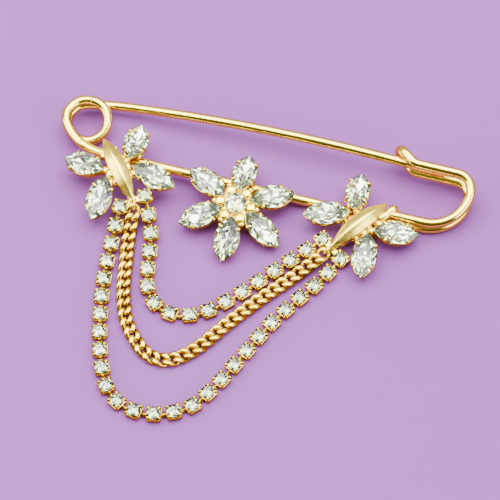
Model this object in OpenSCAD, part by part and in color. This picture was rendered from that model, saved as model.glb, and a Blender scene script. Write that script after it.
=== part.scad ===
// Safety pin brooch: a kilt pin with two butterflies, a flower and three hung chains.
// The pin lies on its back on a table at z = 0. Millimetres, +X along the bar, +Z up.

/* [Wire] */
// Diameter of the spring wire
wire_d = 1.6; // [1.4:0.1:1.8]
// Length of the straight bar
bar_len = 54.9; // [52:0.1:58]
// Mean radius of the coil
coil_r = 3.4; // [3:0.1:3.8]
// Distance from the bar's line to the near side of the coil
coil_rise = 2.3; // [1.8:0.1:2.8]
// Radius of the bar's lead into the coil
lead_r = 9; // [8:0.5:11]
// Gap between the turns of the coil
turn_gap = 0.15; // [0.1:0.05:0.4]

/* [Clasp] */
// Radius of the lower half of the U bend
bend_low_r = 6.8; // [6.4:0.1:7.4]
// Radius of the upper half of the U bend
bend_top_r = 2.8; // [2.4:0.1:3.4]
// Straight run from the U bend to the hook
top_run = 6.7; // [6:0.1:8]
// Radius of the hook's sideways bend
hook_bend_r = 2; // [1.6:0.1:2.6]
// Angle of the hook's sideways bend
hook_angle = 38; // [37:0.5:43]
// Straight run from the sideways bend to the fold
hook_run = 1.3; // [1.1:0.1:1.8]
// Clearance of the arm above and below inside the hook
hook_gap = 0.22; // [0.15:0.01:0.3]
// Length of the doubled wire that lies on the bar
double_run = 3.8; // [3.6:0.1:4]
// Distance of the doubled end inside the bar's line
double_in = 0.35; // [0.3:0.05:0.45]

/* [Arm] */
// Angle at which the arm leaves the coil
arm_exit = 12; // [9:0.5:14]
// Length of the curved root of the arm
arm_root_len = 7.8; // [6:0.1:10]
// Heading of the arm where its long bow starts
arm_bow = 3; // [2:0.5:4]
// Distance from the bar's line to the arm at the hook
arm_reach = 10.15; // [10:0.05:10.2]
// Length of the level end of the arm before the point
arm_end_len = 4.6; // [4:0.1:5]
// Length of the point
point_len = 3.6; // [3:0.1:4]
// Diameter of the blunted tip
tip_d = 0.3; // [0.2:0.05:0.5]

/* [Lie] */
// Height of the bar's axis above the table at its middle
bar_z = 1.7; // [1.7:0.05:2.2]
// Roll of the pin about the bar, arm side up
roll = 6; // [5.5:0.1:6.5]
// Slope of the pin along the bar, coil end up
pitch = 1.8; // [1.6:0.1:2]

/* [Navette stones] */
// Length of a navette stone
navette_l = 7.5; // [7.2:0.1:7.8]
// Width of a navette stone
navette_w = 3.9; // [3.6:0.1:4]
// Height of the crown above the girdle
navette_crown = 0.8; // [0.6:0.1:1]
// Depth of the pavilion under the girdle
navette_pavilion = 0.95; // [0.8:0.05:1]
// Thickness of every girdle
girdle = 0.14; // [0.1:0.02:0.2]

/* [Settings] */
// Wall of the navette cups
cup_wall = 0.18; // [0.16:0.02:0.26]
// Depth of the navette cups under the girdle
cup_depth = 1.35; // [1.3:0.05:1.4]
// Clearance between each stone and its cup
stone_gap = 0.05; // [0.03:0.01:0.07]
// Thickness of a claw
claw_t = 0.2; // [0.18:0.02:0.26]
// Width of a claw
claw_w = 0.46; // [0.4:0.02:0.6]
// Height of the inner ends of the navettes over the bar's axis
root_h = 3.4; // [3.35:0.05:3.8]
// Gap between the ornaments' saddles and the bar
seat_gap = 0.06; // [0.04:0.01:0.1]

/* [Flower] */
// Place of the flower along the bar
flower_x = -3.2; // [-4:0.1:-2]
// Distance of the flower's centre in front of the bar
flower_y = 4.6; // [4.4:0.1:4.8]
// Distance from the flower's centre to the petals' inner ends
petal_root = 2.3; // [2.2:0.1:2.6]
// Droop of the petals
petal_droop = 16; // [14:1:17]
// Droop of the two petals whose tips pass over the bar
side_droop = 8; // [6:1:9]
// Heading of those two petals from the bar's direction
side_heading = 27; // [25:1:29]
// Diameter of the centre stone
centre_d = 3.4; // [3:0.1:3.6]

/* [Butterflies] */
// Distance from the flower to each butterfly along the bar
butterfly_gap = 20.5; // [20.2:0.1:21]
// Distance of the butterflies' centres in front of the bar
butterfly_y = 3.3; // [3.2:0.1:3.5]
// Heading of the left butterfly's head
left_heading = 129; // [127:0.5:131]
// Heading of the right butterfly's head
right_heading = 53.5; // [52:0.5:55]
// Length of the body
body_l = 12.4; // [12:0.1:12.8]
// Distance of its middle ahead of the butterfly's centre
body_ahead = 0.4; // [0.3:0.05:0.5]
// Width of the body
body_w = 3.1; // [2.8:0.1:3.4]
// Height of the body's ridge over its base plate
body_h = 2.2; // [1.8:0.1:2.6]
// Distance of the tail cups behind the butterfly's centre
tail_back = 5.5; // [5.3:0.1:5.7]
// Distance of the tail cups to each side of the body
tail_side = 2.3; // [2.25:0.05:2.5]
// Mean radius of the tail ring
ring_r = 0.85; // [0.8:0.05:0.95]
// Wire diameter of the tail ring
ring_wire = 0.44; // [0.38:0.02:0.46]

/* [Stone strands] */
// Spacing of the cups along a strand
strand_pitch = 3.3; // [3.25:0.01:3.5]
// Diameter of a strand stone
chaton_d = 2.1; // [1.9:0.05:2.2]
// Height of a strand cup
chaton_h = 1.15; // [1.05:0.05:1.3]
// Wall and floor of a strand cup
chaton_wall = 0.18; // [0.16:0.01:0.2]
// Width of a strand link's neck
neck_w = 0.38; // [0.34:0.01:0.4]
// Thickness of a strand link
neck_t = 0.26; // [0.24:0.01:0.3]
// Clearance of the links above and below in their cups' windows
link_gap = 0.19; // [0.17:0.01:0.2]
// Clearance of the links to each side in their cups' windows
link_play = 0.24; // [0.22:0.01:0.26]

/* [Curb chain] */
// Spacing of the curb links
curb_pitch = 1.72; // [1.68:0.01:1.8]
// Length of a curb link
curb_l = 3.06; // [3:0.02:3.2]
// Width of a curb link
curb_w = 2.24; // [2.16:0.02:2.3]
// Wire diameter of a curb link
curb_wire = 0.54; // [0.5:0.02:0.56]
// Rise of the twist of a curb link
curb_twist = 0.42; // [0.4:0.01:0.5]

/* [Hidden] */
$fn = 48;

gold = "gold";
crystal = "whitesmoke";

wire_r = wire_d / 2;
wire_sides = 16;
bend_step = 10;
arc_steps = 6;

// Coil and bar, in the pin's own frame: the bar's axis is y = 0, h = 0
bar_left = -bar_len / 2;
bar_right = bar_len / 2;
lead_angle = acos((lead_r - coil_rise - coil_r) / (lead_r - coil_r));
coil_x = bar_left - (lead_r - coil_r) * sin(lead_angle);
coil_y = coil_rise + coil_r;
turn_drop = wire_d + turn_gap;

// Hook: the hairpin's two wires, with the arm between them
hook_h = 2 * (wire_d + hook_gap);
top_y = bend_low_r + bend_top_r;
fold_x = bar_right + bend_low_r - bend_top_r - top_run - hook_bend_r * sin(hook_angle)
    - hook_run * cos(hook_angle);
double_h = wire_d + 0.1;
double_tilt = asin((hook_h - double_h) / top_y);
double_scale = 1 / cos(double_tilt);

// Arm: it climbs from the coil's lowest turn to the middle of the hook
arm_start_x = coil_x - coil_r * sin(arm_exit);
arm_start_y = coil_y + coil_r * cos(arm_exit);
root_end_x = arm_start_x + arm_root_len * cos((arm_exit + arm_bow) / 2);
root_end_y = arm_start_y + arm_root_len * sin((arm_exit + arm_bow) / 2);
bow_x = fold_x - root_end_x;
bow_angle = atan((arm_reach - root_end_y) / bow_x);
bow_len = bow_x / cos(bow_angle);
arm_last = 2 * bow_angle - arm_bow;
arm_level = 0.8;
arm_climb = hook_h / 2 + turn_drop;
arm_slope = (arm_climb * 180 / PI - bow_len * arm_level / 2) / ((arm_root_len + bow_len) / 2);

// Cups and claws
cup_floor = 0.3;
claw_root = 0.9;
claw_lift = 0.09;
claw_navette = 0.55;
claw_round = 0.66;
claw_centre = 0.5;
claw_share = 0.27;
table_share = 0.46;
claw_slope = 0.95;
lens_r = (navette_l * navette_l + navette_w * navette_w) / (4 * navette_w);
lens_y = lens_r - navette_w / 2;
cup_grow = stone_gap + cup_wall;
cup_half = sqrt((lens_r + cup_grow) * (lens_r + cup_grow) - lens_y * lens_y);

// Each butterfly wing: place along and across the body, angle from the head, droop
LEFT_WINGS = [
    [0.8, 2.4, 38.7, 18],
    [0.8, -2.4, -38.7, 18],
    [-0.4, 2.35, 136.3, 10],
    [-0.4, -2.35, -141.5, 8]
];
RIGHT_WINGS = [
    [1.2, 2.4, 38, 16],
    [1.2, -2.5, -40, 11],
    [0.4, 2.4, 139, 8],
    [0.4, -2.3, -139.6, 6]
];
// Each petal: heading, droop
PETALS = [
    [90, petal_droop],
    [side_heading, side_droop],
    [-30, petal_droop],
    [-90, petal_droop],
    [-150, petal_droop],
    [180 - side_heading, side_droop]
];
left_x = flower_x - butterfly_gap;
right_x = flower_x + butterfly_gap;
base_h = wire_r + 0.12;
base_t = 0.9;
base_l = 7.8;
saddle_l = 2.4;
tail_h = 1.3;
tail_arm = tail_side - chaton_d / 2 - stone_gap - 0.1;
ring_h = 1.35;
ring_back = body_l / 2 - body_ahead - 0.1;
ring_place = [-ring_back - ring_r + 0.2, 0, ring_h];

// Strand cups
chaton_half = chaton_d / 2 + stone_gap + chaton_wall;
chaton_cut = 0.48;
chaton_corner = (2 * chaton_half - chaton_cut) / sqrt(2);
chaton_girdle = chaton_h + girdle / 2;
chaton_crown = 0.42;
chaton_pavilion = 0.8;
link_z = chaton_wall + link_gap + neck_t / 2;
head_l = 0.26;
head_lap = 0.07;
head_w = neck_w + 2 * link_play + 2 * head_lap;
head_back = chaton_wall + 0.34;

// Routes of the hung chains on the table, measured from the middle of the bar
OUTER_ROUTE = [
    [-21.8, -15.3], [-21.3, -22], [-20.1, -28.5], [-18.4, -34.8], [-15.9, -40.4],
    [-13.3, -42.9], [-10.1, -43.9], [-6.9, -43.7], [-3.8, -42.5], [-1.1, -40.5],
    [2.1, -35.2], [4.8, -29.2], [7.7, -23], [11.2, -17.3], [13.4, -14]
];
INNER_ROUTE = [
    [-15.9, -12.1], [-14.8, -18.2], [-14, -21.5], [-12.2, -24.2], [-9.1, -25.6],
    [-5.8, -25.1], [-3.1, -23.6], [1.6, -18.8], [6, -13.6]
];
CURB_ROUTE = [
    [-19.35, -13.2], [-18.5, -18.4], [-17.4, -23.8], [-15.3, -29], [-11.2, -33.3], [-7.3, -33.8],
    [-3.4, -30.8], [0.6, -25], [4.7, -19.4], [9.1, -14]
];
route_steps = 10;
curb_sides = 5;
curb_rings = 12;
curb_rest = curb_twist + curb_wire / 2;
// Share of an end's height at which the chosen point next to it stands
strand_ramp = 0.36;
curb_ramp = 0.14;

// The part's origin is under the middle of its box
mid_x = (coil_x - coil_r + bar_right + bend_low_r * double_scale + hook_h * sin(pitch)) / 2;
hook_reach = top_y + hook_bend_r * (1 - cos(hook_angle)) + (hook_run + hook_h / 2) * sin(hook_angle);
far_y = (hook_reach + wire_r) * cos(roll) - hook_h / 2 * sin(roll);
near_y = min([for (p = OUTER_ROUTE) p.y]) - chaton_half - claw_t;
mid_y = (far_y + near_y) / 2;

// Turn a point about an axis
function turn_x(p, a) = [p.x, p.y * cos(a) - p.z * sin(a), p.y * sin(a) + p.z * cos(a)];
function turn_y(p, a) = [p.x * cos(a) + p.z * sin(a), p.y, p.z * cos(a) - p.x * sin(a)];
function turn_z(p, a) = [p.x * cos(a) - p.y * sin(a), p.x * sin(a) + p.y * cos(a), p.z];

// A point of the pin's frame, on the table
function pin_point(p) = [0, 0, bar_z] + turn_y(turn_x(p, roll), pitch);

// A point of a butterfly's own frame, in the pin's frame
function butterfly_point(x, heading, p) = [x, -butterfly_y, 0] + turn_z(p, heading);

// Smooth curve through chosen points
function between(p, i, t) =
    let (a = p[max(i - 1, 0)], b = p[i], c = p[i + 1], d = p[min(i + 2, len(p) - 1)])
    0.5 * (2 * b + (c - a) * t + (2 * a - 5 * b + 4 * c - d) * t * t + (3 * b - a - 3 * c + d) * t * t * t);
function smooth(p) = concat(
    [for (i = [0 : len(p) - 2], j = [0 : route_steps - 1]) between(p, i, j / route_steps)],
    [p[len(p) - 1]]
);
function travelled(q) = [
    for (i = 0, s = 0; i < len(q); s = s + (i + 1 < len(q) ? norm(q[i + 1] - q[i]) : 0), i = i + 1) s
];

// A route as three tables of place against distance travelled; its first and last chosen
// points stand on ramps that rise to its ends
function route(first, inner, last, rest, ramp) =
    let (
        ends = len(inner) - 1,
        rise = [for (i = [0 : ends]) i == 0 ? first.z - rest : i == ends ? last.z - rest : 0],
        on_table = [for (i = [0 : ends]) [inner[i].x, inner[i].y, rest + ramp * rise[i]]],
        q = smooth(concat([first], on_table, [last])),
        s = travelled(q)
    )
    [for (k = [0 : 2]) [for (i = [0 : len(q) - 1]) [s[i], k < 2 ? q[i][k] : max(q[i][k], rest)]]];
function route_length(r) = r[0][len(r[0]) - 1][0];
function route_at(r, s) = [lookup(s, r[0]), lookup(s, r[1]), lookup(s, r[2])];

// A place lifted so that a tilted cup or link doesn't dip under the table
function raised(p, low) = [p.x, p.y, max(p.z, low)];

// Heading and slope of a step from one place to another
function heading_of(v) = atan2(v.y, v.x);
function slope_of(v) = atan2(v.z, norm([v.x, v.y]));

// Where each strand starts and ends: the tail cups of the butterflies
function tail_cup(side) = [-tail_back, side * tail_side, tail_h];
left_outer = butterfly_point(left_x, left_heading, tail_cup(1));
left_inner = butterfly_point(left_x, left_heading, tail_cup(-1));
right_inner = butterfly_point(right_x, right_heading, tail_cup(1));
right_outer = butterfly_point(right_x, right_heading, tail_cup(-1));
function tail_heading(cup, next) = heading_of([next.x, next.y, 0] - pin_point(cup));
left_ring = butterfly_point(left_x, left_heading, ring_place);
right_ring = butterfly_point(right_x, right_heading, ring_place);
left_ring_turn = tail_heading(left_ring, CURB_ROUTE[0]);
right_ring_turn = tail_heading(right_ring, CURB_ROUTE[len(CURB_ROUTE) - 1]);

// The frame of a cup: place of its floor, heading, slope
function cup_point(f, p) = f[0] + turn_z(turn_y(p, -f[2]), f[1]);
function strand_frames(first, inner, last) =
    let (
        sink = [0, 0, chaton_girdle],
        r = route(pin_point(first) - sink, inner, pin_point(last) - sink, 0, strand_ramp),
        count = round(route_length(r) / strand_pitch),
        step = route_length(r) / count,
        p = [for (i = [0 : count]) route_at(r, i * step)]
    )
    [
        for (i = [1 : count - 1])
            let (v = p[i + 1] - p[i - 1], a = slope_of(v))
            [raised(p[i], chaton_half * abs(sin(a))), heading_of(v), a]
    ];
// Centres of the windows that face each other, one pair for each link
function tail_window(cup, heading) =
    pin_point(cup + [chaton_half * cos(heading), chaton_half * sin(heading), link_z - chaton_girdle]);
function strand_windows(frames, start, end) = [
    for (i = [0 : len(frames)])
        [
            i == 0 ? start : cup_point(frames[i - 1], [chaton_half, 0, link_z]),
            i == len(frames) ? end : cup_point(frames[i], [-chaton_half, 0, link_z])
        ]
];

outer_first = OUTER_ROUTE[0];
outer_last = OUTER_ROUTE[len(OUTER_ROUTE) - 1];
inner_first = INNER_ROUTE[0];
inner_last = INNER_ROUTE[len(INNER_ROUTE) - 1];
outer_frames = strand_frames(left_outer, OUTER_ROUTE, right_outer);
inner_frames = strand_frames(left_inner, INNER_ROUTE, right_inner);
outer_windows = strand_windows(
    outer_frames,
    tail_window(left_outer, tail_heading(left_outer, outer_first)),
    tail_window(right_outer, tail_heading(right_outer, outer_last))
);
inner_windows = strand_windows(
    inner_frames,
    tail_window(left_inner, tail_heading(left_inner, inner_first)),
    tail_window(right_inner, tail_heading(right_inner, inner_last))
);

// Points of a curb link's wire: a twisted oval swept with a few sides
curb_a = (curb_l - curb_wire) / 2;
curb_b = (curb_w - curb_wire) / 2;
function curb_line(t) = [curb_a * cos(t), curb_b * sin(t), curb_twist * sin(2 * t)];
function unit(v) = v / norm(v);
function curb_ring(t) =
    let (
        along = unit([-curb_a * sin(t), curb_b * cos(t), 2 * curb_twist * cos(2 * t)]),
        out = unit(cross([0, 0, 1], along)),
        up = cross(along, out)
    )
    [
        for (k = [0 : curb_sides - 1])
            let (turn = 360 * k / curb_sides)
            curb_line(t) + curb_wire / 2 * (cos(turn) * out + sin(turn) * up)
    ];
curb_points = [for (i = [0 : curb_rings - 1]) each curb_ring(360 * i / curb_rings)];

// The whole part stands with its box centred on the origin
module placed() {
    translate([-mid_x, -mid_y, 0]) children();
}

// The pin's own frame: rolled and sloped as it lies
module on_pin() {
    translate([0, 0, bar_z]) rotate([roll, pitch, 0]) children();
}

// Steps of a wire: a straight run, a bend to the left turned by a roll, an arc that turns
// left and up over a length, and the point
function run(length) = ["run", length];
function bend(radius, angle, about = 0) = ["bend", radius, angle, about];
function arc(length, left, up, about = 0) =
    let (angle = norm([left, up]))
    ["bend", length * 180 / PI / angle, angle, atan2(up, left) + about];
function point(length) = ["point", length];

// A frame on the wire: place, then its directions ahead, left and up
function turn_about(v, axis, a) =
    v * cos(a) + cross(axis, v) * sin(a) + axis * (axis * v) * (1 - cos(a));
function bent(f, radius, a, about) =
    let (side = cos(about) * f[2] + sin(about) * f[3], axis = cross(f[1], side))
    [
        f[0] + radius * side - turn_about(radius * side, axis, a),
        turn_about(f[1], axis, a), turn_about(f[2], axis, a), turn_about(f[3], axis, a)
    ];
function stretch(f, s) =
    s[0] == "bend"
        ? let (count = max(arc_steps, ceil(s[2] / bend_step)))
            [for (i = [1 : count]) bent(f, s[1], s[2] * i / count, s[3])]
        : [[f[0] + s[1] * f[1], f[1], f[2], f[3]]];
function frames_of(steps, f = [[0, 0, 0], [1, 0, 0], [0, 1, 0], [0, 0, 1]], i = 0) =
    i == len(steps) ? [f]
        : let (ahead = stretch(f, steps[i]))
            concat([f], [for (k = [0 : 1 : len(ahead) - 2]) ahead[k]],
                frames_of(steps, ahead[len(ahead) - 1], i + 1));

// Faces of a tube of rings, the last one joined to the first or both ends closed
function tube_faces(rings, sides, closed) = [
    for (i = [0 : closed ? rings - 1 : rings - 2], k = [0 : sides - 1])
        let (n = (i + 1) % rings, m = (k + 1) % sides)
        each [
            [i * sides + k, n * sides + m, i * sides + m],
            [i * sides + k, n * sides + k, n * sides + m]
        ],
    if (!closed) for (k = [1 : sides - 2]) [0, k, k + 1],
    if (!closed) for (k = [1 : sides - 2]) (rings - 1) * sides * [1, 1, 1] + [0, k + 1, k]
];

// A wire bent through steps, starting along +X
module wire(steps) {
    frames = frames_of(steps);
    last = len(frames) - 1;
    pointed = steps[len(steps) - 1][0] == "point";
    points = [
        for (i = [0 : last], k = [0 : wire_sides - 1])
            let (a = 360 * k / wire_sides, r = pointed && i == last ? tip_d / 2 : wire_r)
            frames[i][0] + r * (cos(a) * frames[i][2] + sin(a) * frames[i][3])
    ];
    polyhedron(points, tube_faces(last + 1, wire_sides, false));
}

// Fixed wire: coil's top turn, bar, U bend, hook, doubled end on the bar
module frame_wire() {
    color(gold) placed() on_pin()
        translate([coil_x, coil_y + coil_r, 0]) rotate([0, 0, 180]) wire([
            bend(coil_r, 180 - lead_angle),
            bend(lead_r, lead_angle),
            run(bar_len),
            bend(bend_low_r, 90),
            bend(bend_top_r, 90),
            run(top_run),
            bend(hook_bend_r, hook_angle, 180),
            run(hook_run),
            bend(hook_h / 2, 180, 90),
            run(hook_run),
            bend(hook_bend_r, hook_angle, 180),
            run(top_run),
            bend(bend_top_r * double_scale, 90, double_tilt),
            bend(bend_low_r * double_scale - double_in, 90, double_tilt),
            run(double_run)
        ]);
}

// Sprung arm: coil's falling turn and lowest turn, root, long bow, level end, point
module pin_arm() {
    half_turn = sqrt(coil_r * coil_r + turn_drop * turn_drop / 4);
    fall = atan(turn_drop / (2 * coil_r));
    color(gold) placed() on_pin()
        translate([coil_x + turn_gap, coil_y + coil_r, 0]) wire([
            bend(half_turn, 180, 180 + fall),
            bend(coil_r, 180 - arm_exit, 180 + 2 * fall),
            arc(arm_root_len, arm_bow - arm_exit, arm_slope, 2 * fall),
            arc(bow_len, arm_last - arm_bow, arm_level - arm_slope, 2 * fall),
            run(arm_end_len),
            point(point_len)
        ]);
}

// Outline of a navette, a pointed lens
module lens(grow) {
    intersection() {
        translate([0, lens_y]) circle(r = lens_r + grow);
        translate([0, -lens_y]) circle(r = lens_r + grow);
    }
}

// Claw that stands on a cup's wall and bends over the stone; x runs outward from the wall
module claw(reach, slope, wall) {
    edge = -wall - stone_gap;
    low = girdle / 2 + claw_lift;
    tip = low + slope * (reach + edge);
    rotate([90, 0, 0]) linear_extrude(claw_w, center = true) polygon([
        [-wall / 2, -claw_root],
        [claw_t, -claw_root],
        [claw_t, low],
        [0, low + claw_t * 1.2],
        [-reach, tip + claw_t],
        [-reach, tip],
        [edge, low],
        [-wall / 2, 0]
    ]);
}

// Navette cup, centred on its stone, girdle at z = 0
module navette_cup() {
    angle = acos(claw_share * navette_l / (lens_r + cup_grow));
    translate([0, 0, -cup_depth]) linear_extrude(cup_depth) lens(cup_grow);
    for (a = [angle, 180 - angle], side = [0, 1]) {
        mirror([0, side, 0]) translate([0, -lens_y, 0]) rotate([0, 0, a])
            translate([lens_r + cup_grow, 0, 0]) claw(claw_navette, claw_slope, cup_wall);
    }
}
module navette_pocket() {
    translate([0, 0, cup_floor - cup_depth]) linear_extrude(cup_depth) lens(stone_gap);
}

// Cut navette stone: table, bevelled crown, girdle and keeled pavilion
lens_sides = 6;
function lens_points(scale) =
    let (half = asin(navette_l / 2 / lens_r))
    [
        for (side = [1, -1], i = [0 : lens_sides - 1])
            let (a = half * (1 - 2 * i / lens_sides))
            side * scale * [lens_r * sin(a), lens_r * cos(a) - lens_y]
    ];
module navette_stone() {
    hull() {
        translate([0, 0, -girdle / 2]) linear_extrude(girdle) polygon(lens_points(1));
        translate([0, 0, navette_crown * 0.5]) linear_extrude(0.02) polygon(lens_points(0.8));
        linear_extrude(navette_crown) polygon([
            for (p = lens_points(table_share)) [p.x * 1.05, p.y]
        ]);
        translate([0, 0, -navette_pavilion]) linear_extrude(0.1)
            square([navette_l * 0.42, 0.12], center = true);
    }
}

// Cut round stone, girdle at z = 0
module round_stone(d, crown, pavilion) {
    hull() {
        translate([0, 0, -girdle / 2]) cylinder(d = d, h = girdle, $fn = 16);
        rotate([0, 0, 11.25]) cylinder(d = d * 0.82, h = crown * 0.62, $fn = 8);
        rotate([0, 0, 33.75]) cylinder(d = d * 0.56, h = crown, $fn = 8);
        translate([0, 0, -pavilion]) cylinder(d = 0.1, h = 0.1, $fn = 4);
    }
}

// A navette in its place: root point, heading, droop
module at_navette(root, heading, droop) {
    translate(root) rotate([0, 0, heading]) rotate([0, droop, 0])
        translate([cup_half, 0, 0]) children();
}

// Strand cup: an open box with cut corners, its floor at z = 0
function cut_square(half, cut) = [
    for (q = [0 : 3], s = [-1, 1])
        let (p = s < 0 ? [half, -half + cut] : [half, half - cut])
        [p.x * cos(90 * q) - p.y * sin(90 * q), p.x * sin(90 * q) + p.y * cos(90 * q)]
];
module chaton_shell() {
    linear_extrude(chaton_h) polygon(cut_square(chaton_half, chaton_cut));
    for (q = [0 : 3]) {
        rotate([0, 0, 45 + 90 * q]) translate([chaton_corner, 0, chaton_girdle])
            claw(claw_round, claw_slope, chaton_corner - chaton_d / 2 - stone_gap);
    }
}
module chaton_hollow() {
    inner = chaton_half - chaton_wall;
    translate([0, 0, chaton_wall]) linear_extrude(chaton_h)
        polygon(cut_square(inner, chaton_cut * inner / chaton_half));
}
// Window for a link through the wall on the +X side
module chaton_window() {
    width = neck_w + 2 * link_play;
    height = neck_t + 2 * link_gap;
    translate([chaton_half - chaton_wall * 2, -width / 2, link_z - height / 2])
        cube([chaton_wall * 3, width, height]);
}
module chaton_cup() {
    difference() {
        chaton_shell();
        chaton_hollow();
        chaton_window();
        mirror([1, 0, 0]) chaton_window();
    }
}

// Strand link: a neck with a head behind each cup's wall
module strand_link(pair) {
    v = pair[1] - pair[0];
    translate(pair[0]) rotate([0, -slope_of(v), heading_of(v)]) {
        translate([-head_back - head_l / 2, -neck_w / 2, -neck_t / 2])
            cube([norm(v) + 2 * head_back + head_l, neck_w, neck_t]);
        for (x = [-head_back - head_l, norm(v) + head_back]) {
            translate([x, -head_w / 2, -neck_t / 2]) cube([head_l, head_w, neck_t]);
        }
    }
}

module at_cup(f) {
    translate(f[0]) rotate([0, -f[2], f[1]]) children();
}
module strand_cups(frames, windows) {
    color(gold) placed() {
        for (f = frames) {
            at_cup(f) chaton_cup();
        }
        for (pair = windows) {
            strand_link(pair);
        }
    }
}
module strand_stones(frames) {
    color(crystal) placed() for (f = frames) {
        at_cup(f) translate([0, 0, chaton_girdle]) round_stone(chaton_d, chaton_crown, chaton_pavilion);
    }
}

// A butterfly's own frame: origin at its centre over the bar's height, +X to the head
module at_butterfly(x, heading) {
    translate([x, -butterfly_y, 0]) rotate([0, 0, heading]) children();
}

// Saddle that the ornaments sit on the bar with; x is its place along the bar
module saddle(x, top) {
    difference() {
        translate([x - saddle_l / 2, -wire_r - 0.45, -0.1]) cube([saddle_l, wire_d + 0.9, top + 0.1]);
        translate([x - saddle_l, 0, 0]) rotate([0, 90, 0])
            cylinder(r = wire_r + seat_gap, h = 2 * saddle_l);
    }
}

// Ridged body: a pointed lens under two sloping roofs, thinner to its ends
module body_metal() {
    r = (body_l * body_l + body_w * body_w) / (4 * body_w);
    roof = body_w * 0.62;
    rise = body_h / 2 + body_l * body_l / (8 * body_h);
    translate([body_ahead, 0, base_h + base_t - 0.3]) intersection() {
        linear_extrude(body_h + 0.3) intersection() {
            translate([0, r - body_w / 2]) circle(r = r);
            translate([0, body_w / 2 - r]) circle(r = r);
        }
        rotate([90, 0, 90]) linear_extrude(body_l + 2, center = true)
            polygon([[-roof, -0.1], [roof, -0.1], [roof, 0.7], [0, body_h + 0.3], [-roof, 0.7]]);
        rotate([90, 0, 0]) linear_extrude(body_w + 2, center = true) intersection() {
            translate([-body_l, -0.1]) square([2 * body_l, body_h + 1]);
            translate([0, body_h + 1.1 - 2 * rise]) circle(r = 2 * rise - 0.8);
        }
    }
}

// Base plate of a butterfly: a bar under the body, arms to the wings and to the tail cups
module butterfly_base(wings) {
    translate([-3.8, -body_w / 2 + 0.2, base_h]) cube([base_l, body_w - 0.4, base_t]);
    translate([-ring_back, -0.6, base_h]) cube([ring_back, 1.2, base_t]);
    for (w = wings) {
        translate([w[0] + 0.9 * cos(w[2]), w[1] / 2 + 0.35 * sign(w[1]), base_h + base_t / 2 + 0.1])
            cube([2.4, abs(w[1]) + 1.2, base_t + 0.2], center = true);
    }
    for (side = [-1, 1]) {
        translate([-tail_back, side * tail_arm / 2, base_h]) cube([1.1, tail_arm, 0.7], center = true);
    }
    translate([-ring_back + ring_r - 0.5, -0.45, base_h - 0.1]) cube([1.4, 0.9, 0.9]);
}

// Tail ring, upright, turned to the run of the curb chain whose last link it holds
module tail_ring(turn) {
    translate(ring_place) rotate([90, 0, turn])
        rotate_extrude() translate([ring_r, 0]) circle(d = ring_wire, $fn = 24);
}

module at_tail_cup(side) {
    translate(tail_cup(side)) children();
}
module centre_on_floor() {
    translate([0, 0, -chaton_girdle]) children();
}

// Soldered metal of a butterfly; turns are the headings of its two tail cups
module butterfly(x, heading, wings, turns, ring_turn) {
    difference() {
        union() {
            at_butterfly(x, heading) {
                butterfly_base(wings);
                body_metal();
                tail_ring(ring_turn - heading);
                for (w = wings) {
                    at_navette([w[0], w[1], root_h], w[2], w[3]) navette_cup();
                }
                for (k = [0, 1]) {
                    at_tail_cup(1 - 2 * k) rotate([0, 0, turns[k] - heading])
                        centre_on_floor() chaton_shell();
                }
            }
            saddle(x + butterfly_y / tan(heading), base_h + base_t);
        }
        at_butterfly(x, heading) {
            for (w = wings) {
                at_navette([w[0], w[1], root_h], w[2], w[3]) navette_pocket();
            }
            for (k = [0, 1]) {
                at_tail_cup(1 - 2 * k) rotate([0, 0, turns[k] - heading]) centre_on_floor() {
                    chaton_hollow();
                    chaton_window();
                }
            }
        }
    }
}

left_turns = [tail_heading(left_outer, outer_first), tail_heading(left_inner, inner_first)];
right_turns = [tail_heading(right_inner, inner_last), tail_heading(right_outer, outer_last)];

module left_butterfly() {
    color(gold) placed() on_pin() butterfly(left_x, left_heading, LEFT_WINGS, left_turns, left_ring_turn);
}

// The right butterfly also has a round lug over the bar beside its head
lug_d = 1.4;
lug_from = [3, -1.4, 1.9];
lug_len = 4;
lug_round = 1.02;
module right_butterfly() {
    color(gold) placed() on_pin() {
        butterfly(right_x, right_heading, RIGHT_WINGS, right_turns, right_ring_turn);
        at_butterfly(right_x, right_heading) translate(lug_from) {
            rotate([0, 90, 0]) cylinder(d = lug_d, h = lug_len);
            translate([lug_len, 0, 0]) sphere(d = lug_d * lug_round);
        }
    }
}

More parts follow.
